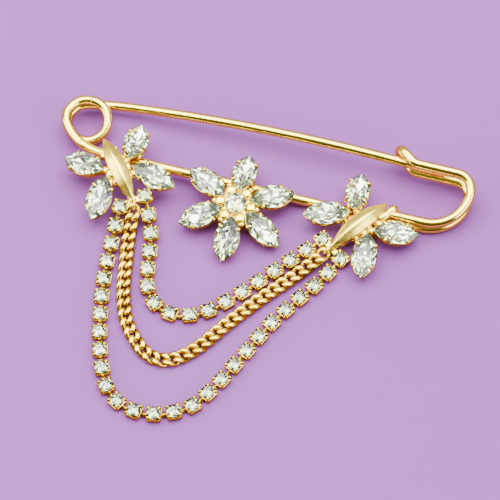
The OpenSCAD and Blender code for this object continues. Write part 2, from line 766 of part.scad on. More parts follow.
// Flower: lobed plate, six petals, centre cup with claws, gold beads between the petals
module at_flower() {
    translate([flower_x, -flower_y, 0]) children();
}
function petal_place(p) = [petal_root * cos(p[0]), petal_root * sin(p[0]), root_h];
bead_d = 1.7;
bead_r = 2.8;
bead_h = root_h - 0.75;
plate_r = 3.7;
plate_t = 1.1;
centre_h = root_h + 0.15;
centre_cup_h = 1.6;
centre_crown = 0.65;
centre_pavilion = 1.1;
module flower() {
    centre_out = centre_d / 2 + stone_gap + cup_wall;
    color(gold) placed() on_pin() difference() {
        union() {
            at_flower() {
                translate([0, 0, base_h + 0.1]) cylinder(r = plate_r, h = plate_t);
                for (p = PETALS) {
                    at_navette(petal_place(p), p[0], p[1]) navette_cup();
                }
                for (k = [0 : 5]) {
                    rotate([0, 0, 60 * k]) translate([bead_r, 0, base_h + 0.5]) {
                        cylinder(d = bead_d - 0.1, h = bead_h - base_h - 0.5);
                        translate([0, 0, bead_h - base_h - 0.5]) sphere(d = bead_d);
                    }
                }
                translate([0, 0, centre_h - centre_cup_h]) cylinder(r = centre_out, h = centre_cup_h);
                for (k = [0 : 5]) {
                    rotate([0, 0, 60 * k]) translate([centre_out, 0, centre_h])
                        claw(claw_centre, claw_slope, cup_wall);
                }
            }
            saddle(flower_x, base_h + 0.6);
        }
        at_flower() {
            for (p = PETALS) {
                at_navette(petal_place(p), p[0], p[1]) navette_pocket();
            }
            translate([0, 0, centre_h - centre_cup_h + cup_floor])
                cylinder(d = centre_d + 2 * stone_gap, h = centre_cup_h);
        }
    }
}

// Stones in their places
module petal_stone(i) {
    color(crystal) placed() on_pin() at_flower()
        at_navette(petal_place(PETALS[i]), PETALS[i][0], PETALS[i][1]) navette_stone();
}
module wing_stone(x, heading, w) {
    color(crystal) placed() on_pin() at_butterfly(x, heading)
        at_navette([w[0], w[1], root_h], w[2], w[3]) navette_stone();
}
module tail_stone(x, heading, side, turn) {
    color(crystal) placed() on_pin() at_butterfly(x, heading) at_tail_cup(side)
        rotate([0, 0, turn - heading]) round_stone(chaton_d, chaton_crown, chaton_pavilion);
}
module centre_stone() {
    color(crystal) placed() on_pin() at_flower() translate([0, 0, centre_h])
        round_stone(centre_d, centre_crown, centre_pavilion);
}

// Curb chain: each link passes through the next, the first and last through the tail rings
module curb_chain() {
    r = route(pin_point(left_ring), CURB_ROUTE, pin_point(right_ring), curb_rest, curb_ramp);
    total = route_length(r);
    hook_in = curb_a;
    count = round((total - 2 * hook_in) / curb_pitch);
    step = (total - 2 * hook_in) / count;
    color(gold) placed() for (i = [0 : count]) {
        s = hook_in + i * step;
        v = route_at(r, s + step / 2) - route_at(r, s - step / 2);
        low = curb_rest + curb_a * abs(sin(slope_of(v)));
        translate(raised(route_at(r, s), low)) rotate([0, -slope_of(v), heading_of(v)])
            polyhedron(curb_points, tube_faces(curb_rings, curb_sides, true));
    }
}

frame_wire();
pin_arm();
left_butterfly();
flower();
right_butterfly();
for (i = [0 : 3]) {
    wing_stone(left_x, left_heading, LEFT_WINGS[i]);
    wing_stone(right_x, right_heading, RIGHT_WINGS[i]);
}
for (k = [0, 1]) {
    tail_stone(left_x, left_heading, 1 - 2 * k, left_turns[k]);
    tail_stone(right_x, right_heading, 1 - 2 * k, right_turns[k]);
}
for (i = [0 : 5]) {
    petal_stone(i);
}
centre_stone();
strand_cups(outer_frames, outer_windows);  // outer_strand_cups
strand_stones(outer_frames);  // outer_strand_stones
strand_cups(inner_frames, inner_windows);  // inner_strand_cups
strand_stones(inner_frames);  // inner_strand_stones
curb_chain();
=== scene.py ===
import math
from collections import namedtuple

import bmesh
import bpy
import numpy as np
from mathutils import Matrix, Vector


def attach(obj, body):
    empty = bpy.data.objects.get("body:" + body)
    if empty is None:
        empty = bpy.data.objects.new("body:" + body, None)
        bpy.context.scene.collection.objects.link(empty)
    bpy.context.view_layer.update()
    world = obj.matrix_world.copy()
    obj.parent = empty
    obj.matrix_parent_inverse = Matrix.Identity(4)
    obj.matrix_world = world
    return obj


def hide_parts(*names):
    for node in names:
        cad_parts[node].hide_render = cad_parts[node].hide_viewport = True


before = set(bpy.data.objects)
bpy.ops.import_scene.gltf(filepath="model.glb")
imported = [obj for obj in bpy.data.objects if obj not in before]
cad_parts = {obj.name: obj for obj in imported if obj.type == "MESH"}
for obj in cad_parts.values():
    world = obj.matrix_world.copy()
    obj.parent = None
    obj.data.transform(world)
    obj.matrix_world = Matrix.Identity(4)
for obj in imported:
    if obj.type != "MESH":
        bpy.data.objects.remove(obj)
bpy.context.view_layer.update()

# Sizes are in millimetres and angles in degrees. Shape.build turns lengths into metres.
MM = 0.001

# ---------------------------------------------------------------- sizes named in part.scad too
# Wire, bar, coil with the bar's lead into it, and the gap between its turns
WIRE_R = 0.8
BAR_LEN = 54.9
COIL_R, COIL_RISE, LEAD_R, TURN_GAP = 3.4, 2.3, 9.0, 0.15
# U bend, hook, and the doubled wire end with its clearance
BEND_LOW_R, BEND_TOP_R, TOP_RUN = 6.8, 2.8, 6.7
HOOK_BEND_R, HOOK_ANGLE, HOOK_RUN, HOOK_GAP = 2.0, 38.0, 1.3, 0.22
DOUBLE_RUN, DOUBLE_IN, DOUBLE_GAP = 3.8, 0.35, 0.1
# Arm: heading at the coil, root, heading where the bow starts, reach, level end, point
ARM_EXIT, ARM_ROOT, ARM_BOW, ARM_REACH, ARM_END, POINT_LEN = 12.0, 7.8, 3.0, 10.15, 4.6, 3.6
ARM_LEVEL = 0.8
# How the pin lies, and the middle of its box
BAR_Z, ROLL, PITCH = 1.7, 6.0, 1.8
MID = Vector((-0.4334, -16.4476, 0))
# Navette stones and cups, and the height of their inner ends over the bar
NAVETTE_L, NAVETTE_W = 7.5, 3.9
CUP_WALL, CUP_DEPTH, STONE_GAP = 0.18, 1.35, 0.05
ROOT_H = 3.4
# Flower: place, petals' inner ends, droop of most petals, and droop and heading of the side two
FLOWER_X, FLOWER_Y, PETAL_ROOT, PETAL_DROOP = -3.2, 4.6, 2.3, 16
SIDE_DROOP, SIDE_HEADING = 8, 27
CENTRE_D = 3.4
# Butterflies: distance from the flower, place in front of the bar, body, tail cups, tail ring
BUTTERFLY_GAP, BUTTERFLY_Y = 20.5, 3.3
BODY_L, BODY_AHEAD = 12.4, 0.4
TAIL_BACK, TAIL_SIDE, TAIL_H = 5.5, 2.3, 1.3
RING_R, RING_WIRE, RING_H = 0.85, 0.44, 1.35
# Round stones of the tails and strands, and their cups
CHATON_D, CHATON_H, CHATON_WALL = 2.1, 1.15, 0.18

PETALS = [(90, PETAL_DROOP), (SIDE_HEADING, SIDE_DROOP), (-30, PETAL_DROOP), (-90, PETAL_DROOP),
          (-150, PETAL_DROOP), (180 - SIDE_HEADING, SIDE_DROOP)]
Wing = namedtuple("Wing", "x y heading droop")
Butterfly = namedtuple("Butterfly", "x heading wings tail_turns ring_turn")
LEFT = Butterfly(
    FLOWER_X - BUTTERFLY_GAP, 129.0,
    [Wing(0.8, 2.4, 38.7, 18), Wing(0.8, -2.4, -38.7, 18), Wing(-0.4, 2.35, 136.3, 10),
     Wing(-0.4, -2.35, -141.5, 8)],
    (-88.11, -66.75), -86.14)
RIGHT = Butterfly(
    FLOWER_X + BUTTERFLY_GAP, 53.5,
    [Wing(1.2, 2.4, 38, 16), Wing(1.2, -2.5, -40, 11), Wing(0.4, 2.4, 139, 8),
     Wing(0.4, -2.3, -139.6, 6)],
    (-130.92, -117.21), -128.85)
SIDES = (1, -1)

# ---------------------------------------------------------------- sizes of the dressing
BASE_H = WIRE_R + 0.12
CHATON_HALF = CHATON_D / 2 + STONE_GAP + CHATON_WALL
CHATON_GIRDLE = CHATON_H + 0.07
RING_BACK = BODY_L / 2 - BODY_AHEAD - 0.1
RING_AT = -RING_BACK - RING_R + 0.2

# The arm's point: share of the way along it, and share of the wire's radius
POINT = ((0.2, 0.97), (0.45, 0.85), (0.7, 0.62), (0.88, 0.4), (0.97, 0.24), (1, 0.1))

# Body: width, height of its foot, least half width; then side walls at the ends, what they gain
# in the middle, and the rise of the ridge; then how full the outline, the ridge and its slopes are
BODY_WIDE, BODY_LOW, BODY_LEAST = 2.95, BASE_H + 0.45, 0.06
BODY_WALL, BODY_MORE_WALL, BODY_RIDGE = 0.75, 1.35, 0.8
BODY_WIDE_POWER, BODY_RIDGE_POWER, BODY_SLOPE_POWER = 2.4, 2.2, 1.3
# Its section runs round a unit circle: the top, then the walls down to this height, then the foot
BODY_TOP_OVER, BODY_WALL_OVER, BODY_WALL_START, BODY_WALL_SLOPE = 0.001, -0.3, 0.85, 2
BODY_STRETCHES, BODY_SIDES = 60, 32

# Blocks under a body: its spine, the arm back to the ring, the arms to the tail cups. Each has
# its half width, thickness and bevel.
SPINE_BACK, SPINE_AHEAD, SPINE_HALF, SPINE_T, SPINE_CUT = -4, 3.2, 1.0, 0.8, 0.2
RING_ARM_HALF, RING_ARM_T, RING_ARM_CUT = 0.6, 0.9, 0.15
TAIL_ARM_HALF, TAIL_ARM_OUT, TAIL_ARM_HALF_T, TAIL_ARM_CUT = 0.5, 1.2, 0.3, 0.1
# Arms under the wings: start as a share of the wing's, reach past its inner end, heights, section
WING_ARM_START, WING_ARM_OUT, WING_ARM_LOW, WING_ARM_HIGH = 0.6, 1.6, 0.5, 0.55
WING_ARM_HALF, WING_ARM_HALF_T = 0.8, 0.5
# Form of such an arm: share of the way, and share of its section there
STRUT = ((0, 0.3), (0.03, 0.65), (0.1, 0.9), (0.25, 1), (0.75, 1), (0.9, 0.9), (0.97, 0.65),
         (1, 0.3))
# Beads beside a body: ahead, aside, height over the base, radius, rise, foot
BODY_BEADS = ((0.15, 1.35, 1.2, 1.0, 0.5, 1.0), (-1.5, 1.2, 1.1, 0.75, 0.5, 0.9))
# Beads between the petals: distance out, depth under the petals' inner ends, radius, rise, foot
FLOWER_BEADS = ((2.6, 0.45, 0.9, 0.34, 1.7), (3.6, 0.85, 0.5, 0.34, 1.4))
# Any bead's foot: its radius at the bottom and at the neck, as shares of the bead's, and how far
# the neck lies below the bead
DOME_FOOT, DOME_NECK, DOME_NECK_DOWN = 0.9, 0.96, 0.1
# The flower's lobed base, as a bead; its centre's height over the petals' ends and cup depth
FLOWER_BASE_R, FLOWER_BASE_RISE, FLOWER_BASE_H, FLOWER_BASE_FOOT = 3.6, 0.5, 1.0, 0.9
CENTRE_UP, CENTRE_DEPTH, CENTRE_CLAWS = 0.15, 1.6, 6
# Saddles: half width, foot, bevel, and their tops over the base
SADDLE_HALF, SADDLE_LOW, SADDLE_CUT = 1.2, -0.1, 0.1
BUTTERFLY_SADDLE_TOP, FLOWER_SADDLE_TOP = 0.5, 0.6

# Rows of a navette or centre cup from the middle of its bottom, over its rim, to its floor:
# growth of the stone's outline, and height, over the bottom in the first rows and the floor's
# and over the girdle in the rim's
CUP_OUTSIDE = ((-0.5, 0), (-0.2, 0), (0.02, 0.1), (0.12, 0.3))
CUP_RIM = ((0.17, -0.4), (0.19, -0.18), (0.17, -0.1), (0.13, -0.07), (0.09, -0.1), (0.05, -0.2),
           (-0.1, -0.5))
CUP_FLOOR = (-0.3, 0.3)
# The same for a tail or strand cup, whose rim's rows reach its floor
CHATON_OUTSIDE = ((-0.9, 0), (-0.35, 0), (-0.13, 0.08), (-0.05, 0.25), (-0.03, 0.6))
CHATON_RIM = ((-0.02, -0.24), (-0.04, -0.17), (-0.09, -0.15), (-0.14, -0.2), (-0.2, -0.4),
              (-0.3, -0.9))
# Radius of its corners, what they cut off a square's, and how far the claws there sink in
CHATON_CORNER, CHATON_CORNER_CUT, CHATON_SINK = 0.42, 0.48, 0.03

# Claws: reach over the stone, height over the girdle, half width, half thickness, foot
Claw = namedtuple("Claw", "reach height width thick low")
NAVETTE_CLAW = Claw(0.7, 0.4, 0.25, 0.12, -0.85)
CHATON_CLAW = Claw(0.52, 0.36, 0.21, 0.12, -0.7)
CENTRE_CLAW = Claw(0.36, 0.32, 0.18, 0.1, -0.85)
# Share of that section at each point of a claw, from its foot to its tip
CLAW_SHARES = (0.75, 0.95, 1, 1, 1, 0.94, 0.66, 0.26)
# How far a claw sinks into its wall, and its place along a navette as a share of the length
CLAW_SINK, CLAW_PLACE = 0.04, 0.27

# Lug of the right butterfly, and the stub between it and the doubled wire's end: place, radius.
# LUG_AT is in the butterfly's frame; the bead at the lug's root has its place, radius, rise, foot.
LUG_AT, LUG_BEAD_AT, LUG_BEAD = (3, -1.4, 1.9), (0.2, -0.5, -0.1), (0.9, 0.7, 0.9)
LUG = ((0.6, 0.6), (1, 0.8), (1.9, 0.86), (2.5, 0.84), (2.8, 0.74), (3.1, 0.84), (3.7, 0.84),
       (4.1, 0.7), (4.4, 0.45), (4.5, 0.2))
STUB = ((22.1, 0.6), (22.5, 0.72), (23.0, 0.78), (23.5, 0.8), (23.75, 0.78), (23.86, 0.66))
STUB_Y, STUB_Z = 0.343, 1.73

# Stones: how far they lie over their outline, cuts of a side, then heights over and under the
# girdle, and rings as shares of the outline
STONE_OVER = 0.1
NAVETTE_CUTS, ROUND_CUTS = 5, 8
NAVETTE_GIRDLE, NAVETTE_TABLE, NAVETTE_CROWN = 0.06, 0.58, 0.76
NAVETTE_MIDDLE, NAVETTE_CULET = (-0.42, -0.72), -0.95
ROUND_GIRDLE, ROUND_SHOULDER, ROUND_SHOULDER_H, ROUND_TABLE = 0.05, 0.84, 0.55, 0.54
ROUND_TURN = 90 / ROUND_CUTS
ROUND_MIDDLE = (0.35, 0.65)
MIDDLE_RING = 0.5
CHATON_CUT_D, CHATON_CROWN, CHATON_PAVILION = CHATON_D + 0.24, 0.44, 0.8
CENTRE_CUT_D, CENTRE_CROWN, CENTRE_PAVILION = CENTRE_D + 0.4, 0.68, 1.35

# Links between strand cups: share of the way and half width; then drop, inset, height by width
LINK = ((0, 0.3), (0.2, 0.3), (0.35, 0.38), (0.5, 0.48), (0.65, 0.38), (0.8, 0.3), (1, 0.3))
LINK_DROP, LINK_INSET, LINK_FLAT = -CHATON_GIRDLE + 0.45, 0.25, 0.75
# Curb links: half length and half width, twist, section, and the flats below and above
CURB_A, CURB_B, CURB_TWIST, CURB_SECTION, CURB_FLATS = 1.2, 0.84, 0.48, (0.42, 0.34), (-0.62, 0.6)

# Sides of round bars, and steps of their ways round
TORUS_STEPS, TORUS_SIDES, STRUT_SIDES, LINK_SIDES, BAR_SIDES = 32, 12, 16, 12, 20
CLAW_SIDES, CURB_STEPS, CURB_SIDES = 10, 28, 10
# Sides of beads and their rise in degrees a step, sides of the centre cup, stretches of a navette
# cup's side, and of the corner of a tail or strand cup
DOME_SIDES, DOME_STEP, CENTRE_SIDES, LENS_STEPS, CORNER_STEPS = 20, 12, 32, 20, 5
# Wires: greatest step along a run, greatest angle and least number of a bend's steps, and sides
RUN_STEP, BEND_STEP, LEAST_BEND_STEPS, WIRE_SIDES = 4, 4, 10, 28

X, Y, Z = Vector((1, 0, 0)), Vector((0, 1, 0)), Vector((0, 0, 1))


def rad(a):
    return math.radians(a)


def shift(x, y, z):
    return Matrix.Translation((x, y, z))


def spin(axis, a):
    return Matrix.Rotation(rad(a), 4, axis)


# The pin's own frame: X along the bar from its middle, Y to the arm, Z up
ON_PIN = Matrix.Translation(-MID) @ shift(0, 0, BAR_Z) @ spin("Y", PITCH) @ spin("X", ROLL)
FLOWER_AT = ON_PIN @ shift(FLOWER_X, -FLOWER_Y, 0)


def at_butterfly(b):
    """A butterfly's own frame, X to its head."""
    return ON_PIN @ shift(b.x, -BUTTERFLY_Y, 0) @ spin("Z", b.heading)


def at_tail(b, k):
    """The girdle of a butterfly's tail stone, 0 on its left and 1 on its right."""
    return at_butterfly(b) @ shift(-TAIL_BACK, SIDES[k] * TAIL_SIDE, TAIL_H)


def at_ring(b):
    """The ring that holds the curb chain."""
    return at_butterfly(b) @ shift(RING_AT, 0, RING_H)


# ---------------------------------------------------------------- meshes
class Shape:
    """Collects points and faces in millimetres, each face with its material's number."""

    def __init__(self):
        self.points, self.faces, self.kinds = [], [], []

    def add(self, points, faces, at=None, kind=0):
        base = len(self.points)
        self.points += list(points) if at is None else [at @ p for p in points]
        self.faces += [[base + i for i in f] for f in faces]
        self.kinds += [kind] * len(faces)

    def build(self, name, materials, nodes, sharp=None, body="brooch"):
        """Makes the piece, smooth up to the angle `sharp`, or with flat faces without it."""
        mesh = bpy.data.meshes.new(name)
        mesh.from_pydata([p * MM for p in self.points], [], self.faces)
        mesh.validate()
        for m in materials:
            mesh.materials.append(m)
        mesh.polygons.foreach_set("material_index", self.kinds)
        mesh.polygons.foreach_set("use_smooth", [sharp is not None] * len(mesh.polygons))
        if sharp is not None:
            mesh.set_sharp_from_angle(angle=rad(sharp))
        mesh.update()
        o = bpy.data.objects.new(name, mesh)
        bpy.context.scene.collection.objects.link(o)
        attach(o, body)
        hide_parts(*nodes)


def rings_to(shape, rings, at=None, closed=False):
    """A capped tube through rings of points, or one that closes on itself."""
    n, count = len(rings[0]), len(rings)
    faces = []
    for i in range(count if closed else count - 1):
        a, b = i * n, (i + 1) % count * n
        faces += [[a + k, a + (k + 1) % n, b + (k + 1) % n, b + k] for k in range(n)]
    if not closed:
        faces.append(list(range(n))[::-1])
        faces.append([(count - 1) * n + k for k in range(n)])
    shape.add([p for r in rings for p in r], faces, at)


def swept(frames, halves, sides):
    """Rings along frames (place, left, up), with the half width and half height at each."""
    turns = [2 * math.pi * k / sides for k in range(sides)]
    return [[p + left * (w * math.cos(t)) + up * (h * math.sin(t)) for t in turns]
            for (p, left, up), (w, h) in zip(frames, halves)]


def circle(r, z, n, turn=0.0):
    """n points of a level circle, from the angle `turn` on."""
    turns = [rad(turn + 360 * k / n) for k in range(n)]
    return [Vector((r * math.cos(t), r * math.sin(t), z)) for t in turns]


def hull(points):
    """Points, faces and normals of a convex hull, its flat faces joined."""
    bm = bmesh.new()
    for p in points:
        bm.verts.new(p)
    bmesh.ops.convex_hull(bm, input=bm.verts)
    bmesh.ops.delete(bm, geom=[v for v in bm.verts if not v.link_faces], context="VERTS")
    bmesh.ops.dissolve_limit(bm, angle_limit=rad(1), verts=bm.verts, edges=bm.edges)
    bmesh.ops.recalc_face_normals(bm, faces=bm.faces)
    bm.verts.index_update()
    corners = [v.co.copy() for v in bm.verts]
    faces = [[v.index for v in f.verts] for f in bm.faces]
    normals = [f.normal.copy() for f in bm.faces]
    bm.free()
    return corners, faces, normals


def box(shape, low, high, at, bevel):
    """A block with bevelled edges."""
    low, high = Vector(low), Vector(high)
    points = []
    for i in (0, 1):
        for j in (0, 1):
            for k in (0, 1):
                c = Vector(((low, high)[i].x, (low, high)[j].y, (low, high)[k].z))
                s = Vector((1 - 2 * i, 1 - 2 * j, 1 - 2 * k)) * bevel
                points += [c + Vector((s.x, s.y, 0)), c + Vector((s.x, 0, s.z)),
                           c + Vector((0, s.y, s.z))]
    corners, faces, _ = hull(points)
    shape.add(corners, faces, at)


def torus(shape, r, wire, at):
    """A ring of round wire."""
    frames = [(out * r, out, Z) for out in circle(1, 0, TORUS_STEPS)]
    halves = [(wire / 2, wire / 2)] * TORUS_STEPS
    rings_to(shape, swept(frames, halves, TORUS_SIDES), at, closed=True)


def dome(shape, r, rise, at, foot):
    """A rounded bead on a short round foot that tapers a little downwards."""
    rows = [(r * DOME_FOOT, -foot), (r * DOME_NECK, -DOME_NECK_DOWN)]
    rows += [(r * math.cos(rad(a)), rise * math.sin(rad(a))) for a in range(0, 90, DOME_STEP)]
    rings_to(shape, [circle(q, z, DOME_SIDES) for q, z in rows], at)


def bridge(shape, start, end, rows, sides, at=None):
    """A bar between two points, with rows of share of the way, half width and half height."""
    ahead = (end - start).normalized()
    side = Z.cross(ahead).normalized()
    frames = [(start.lerp(end, t), side, ahead.cross(side)) for t, _, _ in rows]
    rings_to(shape, swept(frames, [(w, h) for _, w, h in rows], sides), at)


def strut(shape, start, end, wide, high, at):
    """A cast arm: a rounded bar with round ends."""
    bridge(shape, start, end, [(t, wide * g, high * g) for t, g in STRUT], STRUT_SIDES, at)


def turned_bar(shape, rows, y, z, at):
    """A round bar along X, with rows of place and radius."""
    frames = [(Vector((x, y, z)), Y, Z) for x, _ in rows]
    rings_to(shape, swept(frames, [(r, r) for _, r in rows], BAR_SIDES), at)


# ---------------------------------------------------------------- wires
def turned(v, axis, a):
    return Matrix.Rotation(rad(a), 3, axis) @ v


def run(length):
    return ("run", length)


def bend(r, angle, about=0):
    """A bend to the left, or to the side that lies `about` further round the wire."""
    return ("bend", r, angle, about)


def arc(length, left, up, about=0):
    """A bend given by its length and by the angles that it turns to the left and up."""
    angle = math.hypot(left, up)
    return bend(math.degrees(length / angle), angle, math.degrees(math.atan2(up, left)) + about)


def wire_frames(steps):
    """Frames (place, ahead, left, up) along runs and bends, from the origin along X."""
    place, ahead, left, up = Vector((0, 0, 0)), X, Y, Z
    out = [(place, ahead, left, up)]
    for kind, *size in steps:
        if kind == "run":
            length = size[0]
            n = max(1, int(length / RUN_STEP))
            out += [(place + ahead * (length * i / n), ahead, left, up) for i in range(1, n + 1)]
        else:
            r, angle, about = size
            inward = left * math.cos(rad(about)) + up * math.sin(rad(about))
            axis = ahead.cross(inward)
            n = max(LEAST_BEND_STEPS, math.ceil(angle / BEND_STEP))
            for i in range(1, n + 1):
                a = angle * i / n
                out.append((place + inward * r - turned(inward * r, axis, a),
                            turned(ahead, axis, a), turned(left, axis, a), turned(up, axis, a)))
        place, ahead, left, up = out[-1]
    return out


def tube(shape, frames, at, radii):
    places = [(place, left, up) for place, _, left, up in frames]
    rings_to(shape, swept(places, [(r, r) for r in radii], WIRE_SIDES), at)


turn_drop = 2 * WIRE_R + TURN_GAP
lead_angle = math.degrees(math.acos((LEAD_R - COIL_RISE - COIL_R) / (LEAD_R - COIL_R)))
coil_x = -BAR_LEN / 2 - (LEAD_R - COIL_R) * math.sin(rad(lead_angle))
coil_y = COIL_RISE + COIL_R
hook_h = 2 * (2 * WIRE_R + HOOK_GAP)


def frame_wire(shape):
    """From the coil's upper turn along the bar, round the U bend and hook, and back to the bar."""
    top_y = BEND_LOW_R + BEND_TOP_R
    tilt = math.degrees(math.asin((hook_h - 2 * WIRE_R - DOUBLE_GAP) / top_y))
    scale = 1 / math.cos(rad(tilt))
    frames = wire_frames([
        bend(COIL_R, 180 - lead_angle), bend(LEAD_R, lead_angle), run(BAR_LEN),
        bend(BEND_LOW_R, 90), bend(BEND_TOP_R, 90), run(TOP_RUN),
        bend(HOOK_BEND_R, HOOK_ANGLE, 180), run(HOOK_RUN), bend(hook_h / 2, 180, 90),
        run(HOOK_RUN), bend(HOOK_BEND_R, HOOK_ANGLE, 180), run(TOP_RUN),
        bend(BEND_TOP_R * scale, 90, tilt), bend(BEND_LOW_R * scale - DOUBLE_IN, 90, tilt),
        run(DOUBLE_RUN)])
    at = ON_PIN @ shift(coil_x, coil_y + COIL_R, 0) @ spin("Z", 180)
    tube(shape, frames, at, [WIRE_R] * len(frames))


def pin_arm(shape):
    """From the coil's lower turn along the bowed arm to the point inside the hook."""
    half_turn = math.sqrt(COIL_R ** 2 + turn_drop ** 2 / 4)
    fall = math.degrees(math.atan(turn_drop / (2 * COIL_R)))
    fold_x = (BAR_LEN / 2 + BEND_LOW_R - BEND_TOP_R - TOP_RUN
              - HOOK_BEND_R * math.sin(rad(HOOK_ANGLE)) - HOOK_RUN * math.cos(rad(HOOK_ANGLE)))
    mean = rad((ARM_EXIT + ARM_BOW) / 2)
    root_x = coil_x - COIL_R * math.sin(rad(ARM_EXIT)) + ARM_ROOT * math.cos(mean)
    root_y = coil_y + COIL_R * math.cos(rad(ARM_EXIT)) + ARM_ROOT * math.sin(mean)
    bow_x = fold_x - root_x
    bow_angle = math.degrees(math.atan((ARM_REACH - root_y) / bow_x))
    bow_len = bow_x / math.cos(rad(bow_angle))
    climb = math.degrees(hook_h / 2 + turn_drop)
    slope = (climb - bow_len * ARM_LEVEL / 2) / ((ARM_ROOT + bow_len) / 2)
    frames = wire_frames([
        bend(half_turn, 180, 180 + fall), bend(COIL_R, 180 - ARM_EXIT, 180 + 2 * fall),
        arc(ARM_ROOT, ARM_BOW - ARM_EXIT, slope, 2 * fall),
        arc(bow_len, 2 * bow_angle - 2 * ARM_BOW, ARM_LEVEL - slope, 2 * fall), run(ARM_END)])
    place, ahead, left, up = frames[-1]
    radii = [WIRE_R] * len(frames)
    for t, share in POINT:
        frames.append((place + ahead * (POINT_LEN * t), ahead, left, up))
        radii.append(WIRE_R * share)
    tube(shape, frames, ON_PIN @ shift(coil_x + TURN_GAP, coil_y + COIL_R, 0), radii)


# ---------------------------------------------------------------- settings
LENS_R = (NAVETTE_L ** 2 + NAVETTE_W ** 2) / (4 * NAVETTE_W)
LENS_Y = LENS_R - NAVETTE_W / 2
CUP_R = LENS_R + STONE_GAP + CUP_WALL
CUP_HALF = math.sqrt(CUP_R ** 2 - LENS_Y ** 2)


def at_navette(x, y, heading, droop):
    """The middle of a navette whose inner end is at x, y."""
    return shift(x, y, ROOT_H) @ spin("Z", heading) @ spin("Y", droop) @ shift(CUP_HALF, 0, 0)


def at_wing(w):
    return at_navette(w.x, w.y, w.heading, w.droop)


def at_petal(heading, droop):
    return at_navette(PETAL_ROOT * math.cos(rad(heading)), PETAL_ROOT * math.sin(rad(heading)),
                      heading, droop)


def lens(grow, z, n=LENS_STEPS, scale=1.0):
    """Outline of a navette, n stretches a side, anticlockwise from its right end."""
    r = LENS_R + grow
    half = math.asin(math.sqrt(r * r - LENS_Y ** 2) / r)
    out = []
    for side in SIDES:
        for i in range(n):
            a = half * (1 - 2 * i / n)
            out.append(Vector((side * scale * r * math.sin(a),
                               side * scale * (r * math.cos(a) - LENS_Y), z)))
    return out


def square(half, z, corner=CHATON_CORNER):
    """A square with rounded corners."""
    out = []
    for q, (sx, sy) in enumerate(((1, 1), (-1, 1), (-1, -1), (1, -1))):
        for i in range(CORNER_STEPS + 1):
            a = rad(90 * (q + i / CORNER_STEPS))
            out.append(Vector((sx * (half - corner) + corner * math.cos(a),
                               sy * (half - corner) + corner * math.sin(a), z)))
    return out


def cup(shape, outline, depth, at):
    """A cup around an outline, with the girdle plane of its stone at z = 0."""
    rows = [(g, z - depth) for g, z in CUP_OUTSIDE] + list(CUP_RIM)
    rows.append((CUP_FLOOR[0], CUP_FLOOR[1] - depth))
    rings_to(shape, [outline(g, z) for g, z in rows], at)


def claw(shape, c, at):
    """A claw on the outside of a wall at x = 0, which bends over the stone, towards -x."""
    path = [(0.02, c.low), (0.07, c.low + 0.25), (0.1, -0.3), (0.1, -0.02), (0.04, 0.17),
            (-0.1, 0.29), (-c.reach * 0.6, c.height * 0.88), (-c.reach, c.height)]
    frames = []
    for i, (x, z) in enumerate(path):
        a, b = path[max(i - 1, 0)], path[min(i + 1, len(path) - 1)]
        ahead = Vector((b[0] - a[0], 0, b[1] - a[1])).normalized()
        frames.append((Vector((x, 0, z)), Y, ahead.cross(Y)))
    halves = [(c.width * g, c.thick * g) for g in CLAW_SHARES]
    rings_to(shape, swept(frames, halves, CLAW_SIDES), at)


def navette_cup(shape, at):
    cup(shape, lens, CUP_DEPTH, at)
    angle = math.degrees(math.acos(CLAW_PLACE * NAVETTE_L / CUP_R))
    for a in (angle, 180 - angle):
        for side in SIDES:
            flip = Matrix.Diagonal((1, side, 1, 1))
            claw(shape, NAVETTE_CLAW, at @ flip @ shift(0, -LENS_Y, 0) @ spin("Z", a)
                 @ shift(CUP_R - CLAW_SINK, 0, 0))


def chaton_cup(shape, at):
    """A tail or strand cup, with the girdle plane of its stone at z = 0."""
    rows = [(g, z - CHATON_GIRDLE) for g, z in CHATON_OUTSIDE] + list(CHATON_RIM)
    rings_to(shape, [square(CHATON_HALF + g, z) for g, z in rows], at)
    corner = (2 * CHATON_HALF - CHATON_CORNER_CUT) / math.sqrt(2)
    for q in range(4):
        claw(shape, CHATON_CLAW, at @ spin("Z", 45 + 90 * q) @ shift(corner - CHATON_SINK, 0, 0))


def ridged_body(shape, at):
    """Ridged body: pointed at both ends, with a soft ridge along its top and upright sides."""
    rings = []
    for i in range(BODY_STRETCHES + 1):
        u = -1 + 2 * i / BODY_STRETCHES
        x = BODY_AHEAD + u * BODY_L / 2
        half = max(BODY_LEAST, BODY_WIDE / 2 * (1 - abs(u) ** BODY_WIDE_POWER))
        wall = BODY_WALL + BODY_MORE_WALL * (1 - u * u)
        ridge = BODY_RIDGE * (1 - abs(u) ** BODY_RIDGE_POWER)
        ring = []
        for k in range(BODY_SIDES):
            a = 2 * math.pi * k / BODY_SIDES
            y, z = math.cos(a), math.sin(a)
            if z > BODY_TOP_OVER:
                top = wall + ridge * (1 - abs(y) ** BODY_SLOPE_POWER)
                ring.append(Vector((x, y * half, BODY_LOW + top)))
            elif z > BODY_WALL_OVER:
                side = BODY_LOW + wall * (BODY_WALL_START + z * BODY_WALL_SLOPE)
                ring.append(Vector((x, math.copysign(half, y), side)))
            else:
                ring.append(Vector((x, y * half, BODY_LOW)))
        rings.append(ring)
    rings_to(shape, rings, at)


def saddle(shape, x, top):
    """The block that stands on the bar under an ornament."""
    box(shape, (x - SADDLE_HALF, -SADDLE_HALF, SADDLE_LOW),
        (x + SADDLE_HALF, SADDLE_HALF, BASE_H + top), ON_PIN, SADDLE_CUT)


